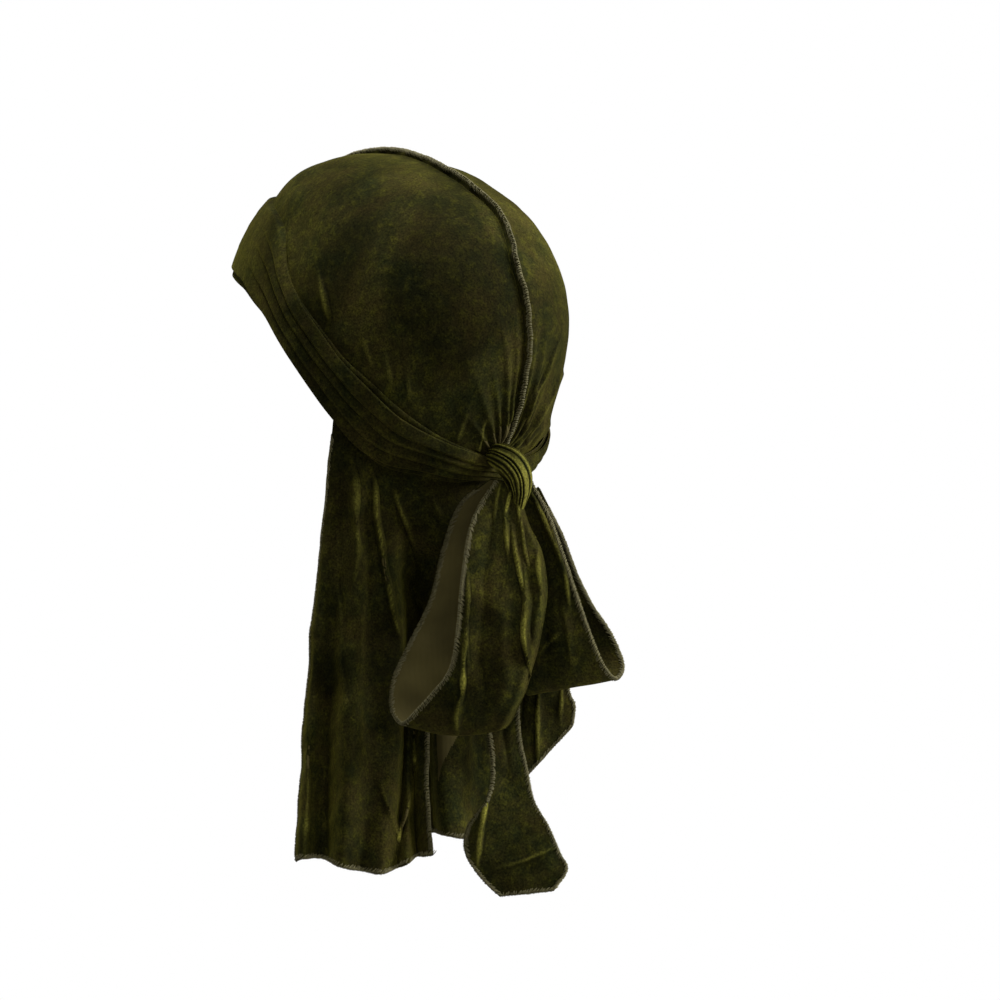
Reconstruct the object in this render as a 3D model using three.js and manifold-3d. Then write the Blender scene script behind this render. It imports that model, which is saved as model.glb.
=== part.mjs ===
// A velvet durag as it is worn: stretched crown with a raised centre seam, straps wrapped round the
// head, a bow at the nape and an open back flap. Millimetres, +Z up, the face looks along -Y and the
// wearer's left is +X. The origin is the top of the head, on the inner face of the crown.

import * as THREE from 'three';
import { mergeVertices } from 'three/addons/utils/BufferGeometryUtils.js';
import Module from 'manifold-3d';

const wasm = await Module();
wasm.setup();

// Driving sizes
const CLOTH = 1.4;
const LAYER_GAP = 0.8;
const CUT_GAP = 0.35;
const HEAD = { halfWidth: 78, halfLength: 106, above: 96, below: 114, tilt: 18, fullness: 2.25 };
const HEAD_MIDDLE = { y: 13.8, z: -97.7 };
const KNOT = { x: 7, y: 102.4, z: -175.6 };
const KNOT_BALL = { across: 7, up: -4, out: 2, halfAcross: 11, halfUp: 17, halfOut: 12 };
const KNOT_RIDGES = { depth: 0.07, across: 14, slant: 3 };
const BOW_TURN = 132;

// The straps press in at the forehead, below a rise and in front of a turn, in degrees
const FOREHEAD_PRESS = { depth: 4, riseFull: 30, riseNone: 46, turnFull: 66, turnNone: 96 };

// Layers on the head, as distances of each layer's middle from the crown's outer face
const CROWN_LAYER = -CLOTH / 2;
const UNDER_LAYER = LAYER_GAP + CLOTH / 2;
const OVER_LAYER = UNDER_LAYER + CLOTH + LAYER_GAP;

// Colours and finish of the cloth
const VELVET = { color: 0x3a3f17, roughness: 0.75, metalness: 0 };
const THREAD = { color: 0x55522e, roughness: 0.9, metalness: 0 };

// The wrapped straps: a row for each place round the head, turned from the forehead to the nape.
// Edges are rises above the head's long middle plane, in degrees.
const WRAP = [
  { turn: 0, top: 31, bottom: 5.5, underTop: 29, underBottom: 3 },
  { turn: 50, top: 33, bottom: 6.5, underTop: 31, underBottom: 4 },
  { turn: 64, top: 30, bottom: 2, underTop: 28, underBottom: 0.5 },
  { turn: 78, top: 20, bottom: -3, underTop: 18, underBottom: -4 },
  { turn: 94, top: 9.5, bottom: -11.5, underTop: 9, underBottom: -12 },
  { turn: 110, top: -0.5, bottom: -20.5, underTop: 0, underBottom: -21 },
  { turn: 120, top: -7, bottom: -26, underTop: -6, underBottom: -26.5 },
  { turn: 131, top: -12.3, bottom: -31, underTop: -10.5, underBottom: -32 },
  { turn: 142, top: -17.5, bottom: -32.5, underTop: -15.5, underBottom: -34.5 },
  { turn: 154, top: -20.2, bottom: -30.5, underTop: -19.5, underBottom: -33 },
  { turn: 166, top: -22, bottom: -30, underTop: -22, underBottom: -32.5 },
  { turn: 177, top: -23.5, bottom: -29.5, underTop: -24, underBottom: -30 },
];

// Pleats of the outer wrap, from its top edge to its lower edge
const PLEATS = [
  { across: 0, proud: 0 },
  { across: 0.14, proud: 0.9 },
  { across: 0.25, proud: 1.6 },
  { across: 0.28, proud: 0.2 },
  { across: 0.46, proud: 1.8 },
  { across: 0.49, proud: 0.3 },
  { across: 0.62, proud: 1.0 },
  { across: 0.73, proud: 1.7 },
  { across: 0.76, proud: 0.2 },
  { across: 1, proud: 0.9 },
];

// The seam's wander to the wearer's left, along its way from the forehead over the top to the nape
const SEAM = [
  { climb: 22, left: 0 },
  { climb: 70, left: 2 },
  { climb: 100, left: 9 },
  { climb: 115, left: 8.5 },
  { climb: 130, left: 6 },
  { climb: 145, left: 10 },
  { climb: 165, left: 6 },
  { climb: 190, left: 3 },
  { climb: 204, left: 4 },
];
const SEAM_FIN = { width: 2.4, height: 3.4, sink: 1.2 };

// The crown's lower edge, as turns at the forehead and at the nape, and how it spreads between them
const CROWN_HEM = { front: 24, rear: 173, spread: 0.95 };

// Folds of the crown that run to the knot: place from the seam (0) to the strap's edge (1), and start
const GATHERS = [
  { at: 0.12, width: 0.07, depth: 1.6, start: 0.72 },
  { at: 0.32, width: 0.08, depth: 2.4, start: 0.78 },
  { at: 0.52, width: 0.08, depth: 2.8, start: 0.76 },
  { at: 0.74, width: 0.08, depth: 2.4, start: 0.8 },
];
const GATHERS_FULL = 0.93;

// Short folds that rise from the strap: place round the head and reach up the crown
const STRAP_FOLDS = [
  { turn: 106, width: 3.5, depth: 2.4, reach: 0.3 },
  { turn: 127, width: 3, depth: 1.8, reach: 0.26 },
  { turn: 135, width: 3, depth: 2.2, reach: 0.34 },
  { turn: 144, width: 3, depth: 1.8, reach: 0.26 },
];

// Both kinds of fold die away before the straps' edge and before the knot
const FOLD_FADE = { edgeStart: 0.9, edgeEnd: 0.98, knotStart: 0.91, knotEnd: 0.96 };

// Left loop of the bow, from the knot down its near layer and back up its far layer.
// Each row holds the strap's two edges: across, up and out from the knot.
const LOOP_LEFT = [
  { a1: -3, u1: -8, o1: 11, a2: 9, u2: -11, o2: 10 },
  { a1: -11, u1: -20, o1: 16, a2: 13, u2: -28, o2: 14 },
  { a1: -17, u1: -35, o1: 21, a2: 21, u2: -45, o2: 16 },
  { a1: -21, u1: -62, o1: 26, a2: 24, u2: -64, o2: 19 },
  { a1: -23, u1: -85, o1: 29, a2: 22, u2: -83, o2: 21 },
  { a1: -27, u1: -107, o1: 28, a2: 17, u2: -105, o2: 20 },
  { a1: -38, u1: -122, o1: 23, a2: 12, u2: -121, o2: 18 },
  { a1: -48, u1: -133, o1: 17, a2: 6, u2: -134, o2: 15 },
  { a1: -54, u1: -137, o1: 11, a2: 2, u2: -139, o2: 9 },
  { a1: -59, u1: -129, o1: 6, a2: 4, u2: -128, o2: 4 },
  { a1: -58, u1: -114, o1: 4, a2: 8, u2: -112, o2: 1 },
  { a1: -50, u1: -96, o1: 3, a2: 11, u2: -91, o2: 0 },
  { a1: -38, u1: -71, o1: 3, a2: 12, u2: -64, o2: 0 },
  { a1: -31, u1: -43, o1: 3, a2: 11, u2: -39, o2: 0 },
  { a1: -22, u1: -20, o1: 4, a2: 8, u2: -21, o2: 2 },
  { a1: -6, u1: -7, o1: 6, a2: 7, u2: -9, o2: 4 },
];
const LOOP_LEFT_SAG = { depth: 5, at: 0.55, width: 0.16 };
const LOOP_LEFT_FOLDS = [
  { at: 0.14, width: 0.07, depth: 1.8 },
  { at: 0.42, width: 0.06, depth: -2.2 },
  { at: 0.56, width: 0.08, depth: 2.4 },
  { at: 0.72, width: 0.06, depth: -1.6 },
  { at: 0.86, width: 0.06, depth: 2.6 },
];

// A loop's folds stand out on its near layer and, the other way, on its far layer, and none where
// it turns over or meets the knot. Shares of its length.
const LOOP_FOLD_REACH = { start: 0.12, turnStart: 0.42, turnEnd: 0.62, end: 0.9 };

// Right loop of the bow, in the same columns
const LOOP_RIGHT = [
  { a1: 8, u1: -14, o1: 2, a2: 16, u2: -8, o2: 0 },
  { a1: 8, u1: -33, o1: 4, a2: 25, u2: -25, o2: 1 },
  { a1: 9, u1: -56, o1: 4, a2: 33, u2: -47, o2: 3 },
  { a1: 9, u1: -79, o1: 3, a2: 39, u2: -65, o2: 4 },
  { a1: 11, u1: -100, o1: 0, a2: 48, u2: -91, o2: 3 },
  { a1: 12, u1: -116, o1: -4, a2: 55, u2: -107, o2: 0 },
  { a1: 14, u1: -123, o1: -12, a2: 62, u2: -114, o2: -8 },
  { a1: 17, u1: -119, o1: -21, a2: 66, u2: -107, o2: -19 },
  { a1: 18, u1: -101, o1: -25, a2: 60, u2: -91, o2: -23 },
  { a1: 18, u1: -79, o1: -25, a2: 49, u2: -74, o2: -22 },
  { a1: 17, u1: -56, o1: -22, a2: 41, u2: -58, o2: -19 },
  { a1: 16, u1: -33, o1: -16, a2: 33, u2: -37, o2: -14 },
  { a1: 12, u1: -18, o1: -9, a2: 23, u2: -14, o2: -8 },
];
const LOOP_RIGHT_FOLDS = [
  { at: 0.25, width: 0.09, depth: -1.6 },
  { at: 0.55, width: 0.08, depth: 2.2 },
  { at: 0.8, width: 0.07, depth: -1.4 },
];

// Near free end of the straps, hanging behind the left loop
const TAIL_LEFT = [
  { a1: -3, u1: -12, o1: -3, a2: 5, u2: -13, o2: -5 },
  { a1: -6, u1: -47, o1: -9, a2: 8, u2: -47, o2: -10 },
  { a1: -8, u1: -88, o1: -11, a2: 9, u2: -88, o2: -12 },
  { a1: -10, u1: -122, o1: -10, a2: 9, u2: -124, o2: -12 },
  { a1: -7, u1: -145, o1: -7, a2: 10, u2: -145, o2: -11 },
  { a1: -5, u1: -163, o1: -3, a2: 13, u2: -160, o2: -9 },
  { a1: -8, u1: -179, o1: 0, a2: 17, u2: -179, o2: -7 },
  { a1: -18, u1: -193, o1: 1, a2: 25, u2: -193, o2: -4 },
  { a1: -19, u1: -207, o1: 1, a2: 31, u2: -207, o2: -2 },
  { a1: -11, u1: -220, o1: 0, a2: 35, u2: -216, o2: -1 },
  { a1: -1, u1: -230, o1: 0, a2: 28, u2: -227, o2: 0 },
];
const TAIL_LEFT_FOLDS = [
  { at: 0.25, width: 0.09, depth: 1.6 },
  { at: 0.5, width: 0.1, depth: -2.0 },
  { at: 0.75, width: 0.08, depth: 1.5 },
];

// A free end's folds grow below the knot, between these shares of its length
const TAIL_FOLD_REACH = { start: 0.05, full: 0.3 };

// Far free end, hanging behind the right loop, cut at a slant
const TAIL_RIGHT = [
  { a1: 1, u1: -12, o1: -5, a2: 9, u2: -13, o2: -6 },
  { a1: 3, u1: -26, o1: -16, a2: 14, u2: -25, o2: -20 },
  { a1: 4, u1: -52, o1: -24, a2: 21, u2: -50, o2: -32 },
  { a1: 5, u1: -93, o1: -27, a2: 29, u2: -89, o2: -37 },
  { a1: 5, u1: -129, o1: -27, a2: 37, u2: -122, o2: -37 },
  { a1: 5, u1: -157, o1: -26, a2: 40, u2: -130, o2: -36 },
  { a1: 6, u1: -176, o1: -26, a2: 39, u2: -141, o2: -35 },
];
const TAIL_RIGHT_FOLDS = [
  { at: 0.35, width: 0.1, depth: 1.6 },
  { at: 0.68, width: 0.08, depth: -1.6 },
];

// Left half of the back flap: a row for each ridge or hollow, from its front edge to its split
const FLAP_LEFT = [
  { turn: 119, midAcross: -102, midOut: -2, hemAcross: -110, hemOut: 0, hemUp: -211 },
  { turn: 122, midAcross: -98, midOut: 4, hemAcross: -106, hemOut: 7, hemUp: -209 },
  { turn: 126, midAcross: -90, midOut: -2, hemAcross: -97, hemOut: -4, hemUp: -210 },
  { turn: 131, midAcross: -79, midOut: 8, hemAcross: -86, hemOut: 11, hemUp: -213 },
  { turn: 136, midAcross: -71, midOut: -2, hemAcross: -75, hemOut: 2, hemUp: -216 },
  { turn: 142, midAcross: -57, midOut: -9, hemAcross: -64, hemOut: 8, hemUp: -217 },
  { turn: 150, midAcross: -52, midOut: -23, hemAcross: -56, hemOut: -4, hemUp: -215 },
  { turn: 158, midAcross: -48, midOut: -25, hemAcross: -50, hemOut: 2, hemUp: -212 },
  { turn: 165, midAcross: -44, midOut: -27, hemAcross: -46, hemOut: -14, hemUp: -210 },
  { turn: 171, midAcross: -39, midOut: -22, hemAcross: -42, hemOut: -6, hemUp: -209 },
  { turn: 177, midAcross: -34, midOut: -20, hemAcross: -37, hemOut: -2, hemUp: -208 },
];

// Right half of the back flap, from its turned-back inner edge round to the right side
const FLAP_RIGHT = [
  { turn: 179, midAcross: -38, midOut: -29, hemAcross: -42, hemOut: -24, hemUp: -200 },
  { turn: 180.5, midAcross: -33, midOut: -30, hemAcross: -36, hemOut: -24, hemUp: -199 },
  { turn: 182, midAcross: -28, midOut: -24, hemAcross: -30, hemOut: -15, hemUp: -199 },
  { turn: 185, midAcross: -20, midOut: -29, hemAcross: -21, hemOut: -20, hemUp: -201 },
  { turn: 190, midAcross: -13, midOut: -42, hemAcross: -13, hemOut: -40, hemUp: -203 },
  { turn: 198, midAcross: -2, midOut: -54, hemAcross: -4, hemOut: -48, hemUp: -205 },
  { turn: 208, midAcross: 2, midOut: -72, hemAcross: -3, hemOut: -66, hemUp: -207 },
  { turn: 219, midAcross: 12, midOut: -86, hemAcross: 9, hemOut: -80, hemUp: -209 },
  { turn: 230, midAcross: 3, midOut: -100, hemAcross: 2, hemOut: -98, hemUp: -210 },
  { turn: 241, midAcross: -3, midOut: -114, hemAcross: -7, hemOut: -114, hemUp: -211 },
];
const FLAP_MID_UP = -93;
const FLAP_MID_SHARE = 0.42;

// The flap's first share of rows lies tucked under the straps, down to a rise just below their edge
const FLAP_TUCK = { share: 0.12, reach: 0.9, belowHem: 1, belowStraps: 1.2 };

// Numbers of faces across and along each wall
const FACES = {
  crown: { across: 12, along: 26 },
  under: { across: 3, along: 42 },
  over: { along: 42 },
  seam: { along: 34 },
  knot: { around: 22, along: 12 },
  loopLeft: { across: 10, along: 27 },
  loopRight: { across: 8, along: 24 },
  tailLeft: { across: 8, along: 16 },
  tailRight: { across: 6, along: 10 },
  flapLeft: { across: 23, along: 9 },
  flapRight: { across: 22, along: 9 },
};

const radians = THREE.MathUtils.degToRad;
const lerp = THREE.MathUtils.lerp;
const smoothstep = THREE.MathUtils.smoothstep;

function bell(distance, width) {
  return Math.exp(-((distance / width) ** 2));
}

// Smooth curve through one column of a table, read at a value of its key column
function columnAt(rows, key, column, value) {
  let i = 0;
  while (i < rows.length - 2 && value > rows[i + 1][key]) i += 1;
  const slope = (k) => {
    const before = rows[Math.max(k - 1, 0)];
    const after = rows[Math.min(k + 1, rows.length - 1)];
    return (after[column] - before[column]) / (after[key] - before[key]);
  };
  const from = rows[i];
  const to = rows[i + 1];
  const span = to[key] - from[key];
  const t = THREE.MathUtils.clamp((value - from[key]) / span, 0, 1);
  const blend = t * t * (3 - 2 * t);
  const pullFrom = t * (1 - t) ** 2 * span * slope(i);
  const pullTo = t * t * (t - 1) * span * slope(i + 1);
  return lerp(from[column], to[column], blend) + pullFrom + pullTo;
}

// Smooth curve through one column of a table, read at a share of the way through its rows
function rowShare(rows, column, share) {
  const numbered = rows.map((row, place) => ({ place, value: row[column] }));
  return columnAt(numbered, 'place', 'value', share * (rows.length - 1));
}

// The head: an egg tilted up at the forehead. A direction is a turn from the forehead and a rise.
function headDirection(turn, rise) {
  const flat = Math.cos(radians(rise));
  return new THREE.Vector3(
    Math.sin(radians(turn)) * flat,
    -Math.cos(radians(turn)) * flat,
    Math.sin(radians(rise)),
  );
}

// How far the straps press in at the forehead
function strapPress(direction) {
  const turn = Math.abs(THREE.MathUtils.radToDeg(Math.atan2(direction.x, -direction.y)));
  const rise = THREE.MathUtils.radToDeg(Math.asin(direction.z));
  const { depth, riseFull, riseNone, turnFull, turnNone } = FOREHEAD_PRESS;
  return depth * (1 - smoothstep(rise, riseFull, riseNone)) * (1 - smoothstep(turn, turnFull, turnNone));
}

function headPoint(direction, layer) {
  const vertical = direction.z > 0 ? HEAD.above : HEAD.below;
  const sizes = [HEAD.halfWidth, HEAD.halfLength, vertical];
  const scaled = direction.toArray().map((value, axis) => Math.abs(value / sizes[axis]));
  const total = scaled.reduce((sum, value) => sum + value ** HEAD.fullness, 0);
  const point = direction.clone().multiplyScalar(total ** (-1 / HEAD.fullness));
  const signs = direction.toArray().map(Math.sign);
  const slopes = scaled.map((value, axis) => (signs[axis] * value ** (HEAD.fullness - 1)) / sizes[axis]);
  const normal = new THREE.Vector3(...slopes);
  point.addScaledVector(normal.normalize(), layer - strapPress(direction));
  const tilt = radians(HEAD.tilt);
  return new THREE.Vector3(
    point.x,
    point.y * Math.cos(tilt) + point.z * Math.sin(tilt) + HEAD_MIDDLE.y,
    -point.y * Math.sin(tilt) + point.z * Math.cos(tilt) + HEAD_MIDDLE.z,
  );
}

// The bow's own frame at the knot: across to the rear right, out to the rear left, and up
function bowPoint(across, up, out) {
  const turn = radians(BOW_TURN);
  return new THREE.Vector3(
    KNOT.x + across * Math.cos(turn) + out * Math.sin(turn),
    KNOT.y + across * Math.sin(turn) - out * Math.cos(turn),
    KNOT.z + up,
  );
}

// A grid of points on the middle of a cloth wall, from a function of two shares
function clothGrid(pointAt, acrossShares, alongShares) {
  return alongShares.map((v) => acrossShares.map((u) => pointAt(u, v)));
}

function evenShares(count) {
  return Array.from({ length: count + 1 }, (_, i) => i / count);
}

function gridNormal(grid, i, j) {
  const before = grid[Math.max(i - 1, 0)][j];
  const after = grid[Math.min(i + 1, grid.length - 1)][j];
  const left = grid[i][Math.max(j - 1, 0)];
  const right = grid[i][Math.min(j + 1, grid[i].length - 1)];
  const alongWay = after.clone().sub(before);
  return right.clone().sub(left).cross(alongWay).normalize();
}

// A closed wall of even thickness round a grid
function clothWall(grid, thickness) {
  const rows = grid.length;
  const columns = grid[0].length;
  const positions = [];
  for (const side of [0.5, -0.5]) {
    for (let i = 0; i < rows; i += 1) {
      for (let j = 0; j < columns; j += 1) {
        const point = grid[i][j].clone().addScaledVector(gridNormal(grid, i, j), side * thickness);
        positions.push(point.x, point.y, point.z);
      }
    }
  }
  const front = (i, j) => i * columns + j;
  const back = (i, j) => rows * columns + front(i, j);
  const faces = [];
  const quad = (a, b, c, d) => faces.push(a, b, c, a, c, d);
  for (let i = 0; i < rows - 1; i += 1) {
    for (let j = 0; j < columns - 1; j += 1) {
      quad(front(i, j), front(i, j + 1), front(i + 1, j + 1), front(i + 1, j));
      quad(back(i, j), back(i + 1, j), back(i + 1, j + 1), back(i, j + 1));
    }
    quad(front(i, 0), front(i + 1, 0), back(i + 1, 0), back(i, 0));
    quad(front(i + 1, columns - 1), front(i, columns - 1), back(i, columns - 1), back(i + 1, columns - 1));
  }
  for (let j = 0; j < columns - 1; j += 1) {
    quad(front(0, j + 1), front(0, j), back(0, j), back(0, j + 1));
    quad(front(rows - 1, j), front(rows - 1, j + 1), back(rows - 1, j + 1), back(rows - 1, j));
  }
  return closedGeometry(positions, faces);
}

// The same grid with its border moved outwards
function widened(grid, by) {
  const wide = grid.map((row) => row.map((point) => point.clone()));
  const push = (i, j, fromI, fromJ) => {
    const outward = grid[i][j].clone().sub(grid[fromI][fromJ]).normalize();
    wide[i][j].addScaledVector(outward, by);
  };
  const lastRow = grid.length - 1;
  const lastColumn = grid[0].length - 1;
  for (let j = 0; j <= lastColumn; j += 1) {
    push(0, j, 1, j);
    push(lastRow, j, lastRow - 1, j);
  }
  for (let i = 0; i <= lastRow; i += 1) {
    push(i, 0, i, 1);
    push(i, lastColumn, i, lastColumn - 1);
  }
  return wide;
}

function closedGeometry(positions, faces) {
  const geometry = new THREE.BufferGeometry();
  geometry.setAttribute('position', new THREE.Float32BufferAttribute(positions, 3));
  geometry.setIndex(faces);
  return geometry;
}

// Cutting with manifold solids
function toSolid(geometry) {
  const bare = geometry.clone();
  bare.deleteAttribute('normal');
  bare.deleteAttribute('uv');
  const merged = mergeVertices(bare, 1e-4);
  return new wasm.Manifold(new wasm.Mesh({
    numProp: 3,
    vertProperties: new Float32Array(merged.attributes.position.array),
    triVerts: new Uint32Array(merged.index.array),
  }));
}

function toGeometry(solid) {
  const mesh = solid.getMesh();
  const positions = [];
  for (let i = 0; i < mesh.vertProperties.length; i += mesh.numProp) {
    positions.push(mesh.vertProperties[i], mesh.vertProperties[i + 1], mesh.vertProperties[i + 2]);
  }
  return closedGeometry(positions, Array.from(mesh.triVerts));
}

function largestPart(solid) {
  return solid.decompose().reduce((best, part) => (part.volume() > best.volume() ? part : best));
}

const durag = new THREE.Group();
const placed = new Map();

// Adds a piece, cut back where it would meet the named earlier ones
function addPiece(name, geometry, grownGeometry, cutBy, finish) {
  let solid = toSolid(geometry);
  for (const earlier of cutBy) {
    const cutter = placed.get(earlier);
    if (solid.intersect(cutter).volume() > 0) solid = largestPart(solid.subtract(cutter));
  }
  placed.set(name, toSolid(grownGeometry));
  const mesh = new THREE.Mesh(toGeometry(solid), new THREE.MeshStandardMaterial(finish));
  mesh.name = name;
  durag.add(mesh);
}

function addCloth(name, grid, cutBy, thickness = CLOTH, finish = VELVET) {
  const grown = clothWall(widened(grid, CUT_GAP), thickness + 2 * CUT_GAP);
  addPiece(name, clothWall(grid, thickness), grown, cutBy, finish);
}

// Knot: a wound ball of cloth with arched folds
function knotGeometry(grow) {
  const { around, along } = FACES.knot;
  const positions = [];
  const faces = [];
  for (let i = 0; i <= along; i += 1) {
    const polar = (Math.PI * i) / along;
    for (let j = 0; j < around; j += 1) {
      const angle = (2 * Math.PI * j) / around;
      const sideways = Math.sin(polar) * Math.cos(angle);
      const outward = Math.sin(polar) * Math.sin(angle);
      const wave = Math.cos(KNOT_RIDGES.across * sideways + KNOT_RIDGES.slant * Math.cos(polar));
      const ridge = 1 + KNOT_RIDGES.depth * wave * Math.sin(polar);
      const point = bowPoint(
        KNOT_BALL.across + (KNOT_BALL.halfAcross + grow) * sideways * ridge,
        KNOT_BALL.up + (KNOT_BALL.halfUp + grow) * Math.cos(polar),
        KNOT_BALL.out + (KNOT_BALL.halfOut + grow) * outward * ridge,
      );
      positions.push(point.x, point.y, point.z);
    }
  }
  for (let i = 0; i < along; i += 1) {
    for (let j = 0; j < around; j += 1) {
      const next = (j + 1) % around;
      const corners = [i * around + j, (i + 1) * around + j, (i + 1) * around + next, i * around + next];
      if (i < along - 1) faces.push(corners[0], corners[2], corners[1]);
      if (i > 0) faces.push(corners[0], corners[3], corners[2]);
    }
  }
  for (let i = 0; i < faces.length; i += 3) {
    for (let k = 0; k < 3; k += 1) {
      if (faces[i + k] < around) faces[i + k] = 0;
      if (faces[i + k] >= along * around) faces[i + k] = along * around;
    }
  }
  return closedGeometry(positions, faces);
}

// Loops and free ends: a strap between the two edges of a table, with long folds
function strapPoint(rows, folds, foldSide, sag) {
  return (u, v) => {
    const across = lerp(rowShare(rows, 'a1', v), rowShare(rows, 'a2', v), u);
    const up = lerp(rowShare(rows, 'u1', v), rowShare(rows, 'u2', v), u);
    const out = lerp(rowShare(rows, 'o1', v), rowShare(rows, 'o2', v), u);
    const relief = folds.reduce((sum, fold) => sum + fold.depth * bell(u - fold.at, fold.width), 0);
    const sagging = sag.depth * 4 * u * (1 - u) * bell(v - sag.at, sag.width);
    return bowPoint(across, up - sagging, out + relief * foldSide(v));
  };
}

function loopSide(v) {
  const { start, turnStart, turnEnd, end } = LOOP_FOLD_REACH;
  return smoothstep(v, 0, start) * (1 - 2 * smoothstep(v, turnStart, turnEnd)) * (1 - smoothstep(v, end, 1));
}

function tailSide(v) {
  return smoothstep(v, TAIL_FOLD_REACH.start, TAIL_FOLD_REACH.full);
}

function addStrap(name, rows, folds, foldSide, faces, sag = { depth: 0, at: 0, width: 1 }) {
  const point = strapPoint(rows, folds, foldSide, sag);
  addCloth(name, clothGrid(point, evenShares(faces.across), evenShares(faces.along)), placed.keys());
}

// Wrapped straps on the head
function wrapEdge(column, turn) {
  const folded = Math.abs(turn) > 180 ? 360 - Math.abs(turn) : Math.abs(turn);
  return columnAt(WRAP, 'turn', column, folded);
}

function wrapTurn(v) {
  const last = WRAP[WRAP.length - 1].turn;
  return lerp(-last, last, v);
}

function underPoint(u, v) {
  const turn = wrapTurn(v);
  const rise = lerp(wrapEdge('underTop', turn), wrapEdge('underBottom', turn), u);
  return headPoint(headDirection(turn, rise), UNDER_LAYER);
}

function overPoint(u, v) {
  const turn = wrapTurn(v);
  const rise = lerp(wrapEdge('top', turn), wrapEdge('bottom', turn), u);
  const proud = PLEATS.find((pleat) => pleat.across === u).proud;
  return headPoint(headDirection(turn, rise), OVER_LAYER + proud);
}

// Crown panels, from the seam down to the middle of the wrapped straps
function seamDirection(v, sideways) {
  const climb = lerp(SEAM[0].climb, SEAM[SEAM.length - 1].climb, v);
  const lean = (columnAt(SEAM, 'climb', 'left', climb) + sideways) / HEAD.above;
  return new THREE.Vector3(
    Math.sin(lean),
    -Math.cos(lean) * Math.cos(radians(climb)),
    Math.cos(lean) * Math.sin(radians(climb)),
  );
}

function hemRise(turn) {
  return (wrapEdge('top', turn) + wrapEdge('bottom', turn)) / 2;
}

function crownPoint(side) {
  const seamRoom = side * (SEAM_FIN.width / 2 + LAYER_GAP);
  return (u, v) => {
    const turn = lerp(CROWN_HEM.front, CROWN_HEM.rear, v ** CROWN_HEM.spread);
    const seam = seamDirection(v, seamRoom);
    const hem = headDirection(side * turn, hemRise(turn));
    const angle = seam.angleTo(hem);
    const direction = seam.multiplyScalar(Math.sin((1 - u) * angle));
    direction.addScaledVector(hem, Math.sin(u * angle)).normalize();
    const covered = radians(Math.max(wrapEdge('top', turn), wrapEdge('underTop', turn)) - hemRise(turn));
    const open = u / (1 - covered / angle);
    let relief = 0;
    for (const fold of GATHERS) {
      relief += fold.depth * bell(open - fold.at, fold.width) * smoothstep(v, fold.start, GATHERS_FULL);
    }
    for (const fold of STRAP_FOLDS) {
      const reach = smoothstep(open, 1 - fold.reach, 1 - fold.reach / 2);
      relief += fold.depth * bell(turn - fold.turn, fold.width) * reach;
    }
    const edgeFade = 1 - smoothstep(open, FOLD_FADE.edgeStart, FOLD_FADE.edgeEnd);
    const knotFade = 1 - smoothstep(v, FOLD_FADE.knotStart, FOLD_FADE.knotEnd);
    return headPoint(direction, CROWN_LAYER + relief * edgeFade * knotFade);
  };
}

// Raised seam: a fin of both panels' edges, standing on the crown
function seamGrid() {
  return evenShares(FACES.seam.along).map((v) => {
    const direction = seamDirection(v, 0);
    return [SEAM_FIN.height, -SEAM_FIN.sink].map((layer) => headPoint(direction, layer));
  });
}

// Flap halves: under the straps along the head, then hanging through the middle row to the hem
function flapPoint(rows) {
  return (u, v) => {
    const turn = rowShare(rows, 'turn', u);
    const strapsEdge = Math.min(wrapEdge('bottom', turn), wrapEdge('underBottom', turn));
    const low = strapsEdge - FLAP_TUCK.belowStraps;
    if (v <= FLAP_TUCK.share) {
      const high = hemRise(turn) - FLAP_TUCK.belowHem;
      const reach = (FLAP_TUCK.reach * v) / FLAP_TUCK.share;
      return headPoint(headDirection(turn, lerp(high, low, reach)), CROWN_LAYER);
    }
    const start = headPoint(headDirection(turn, low), CROWN_LAYER);
    const share = (v - FLAP_TUCK.share) / (1 - FLAP_TUCK.share);
    const mid = bowPoint(rowShare(rows, 'midAcross', u), FLAP_MID_UP, rowShare(rows, 'midOut', u));
    const hemUp = rowShare(rows, 'hemUp', u);
    const hem = bowPoint(rowShare(rows, 'hemAcross', u), hemUp, rowShare(rows, 'hemOut', u));
    const middle = FLAP_MID_SHARE;
    const point = start.multiplyScalar(((share - middle) * (share - 1)) / middle);
    point.addScaledVector(mid, (share * (share - 1)) / (middle * (middle - 1)));
    return point.addScaledVector(hem, (share * (share - middle)) / (1 - middle));
  };
}

const BOW = ['knot', 'loop_left', 'loop_right', 'tail_left', 'tail_right'];

function addFlap(name, rows, faces, cutBy) {
  const hanging = evenShares(faces.along).map((v) => lerp(FLAP_TUCK.share, 1, v));
  const shares = [0, FLAP_TUCK.share / 2, ...hanging];
  addCloth(name, clothGrid(flapPoint(rows), evenShares(faces.across), shares), cutBy);
}

addPiece('knot', knotGeometry(0), knotGeometry(CUT_GAP), [], VELVET);
addStrap('loop_left', LOOP_LEFT, LOOP_LEFT_FOLDS, loopSide, FACES.loopLeft, LOOP_LEFT_SAG);
addStrap('loop_right', LOOP_RIGHT, LOOP_RIGHT_FOLDS, loopSide, FACES.loopRight);
addStrap('tail_left', TAIL_LEFT, TAIL_LEFT_FOLDS, tailSide, FACES.tailLeft);
addStrap('tail_right', TAIL_RIGHT, TAIL_RIGHT_FOLDS, tailSide, FACES.tailRight);

const pleatShares = PLEATS.map((pleat) => pleat.across);
addCloth('wrap_over', clothGrid(overPoint, pleatShares, evenShares(FACES.over.along)), BOW);
const underGrid = clothGrid(underPoint, evenShares(FACES.under.across), evenShares(FACES.under.along));
addCloth('wrap_under', underGrid, BOW);
addCloth('centre_seam', seamGrid(), ['knot', 'wrap_over', 'wrap_under'], SEAM_FIN.width, THREAD);

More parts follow.
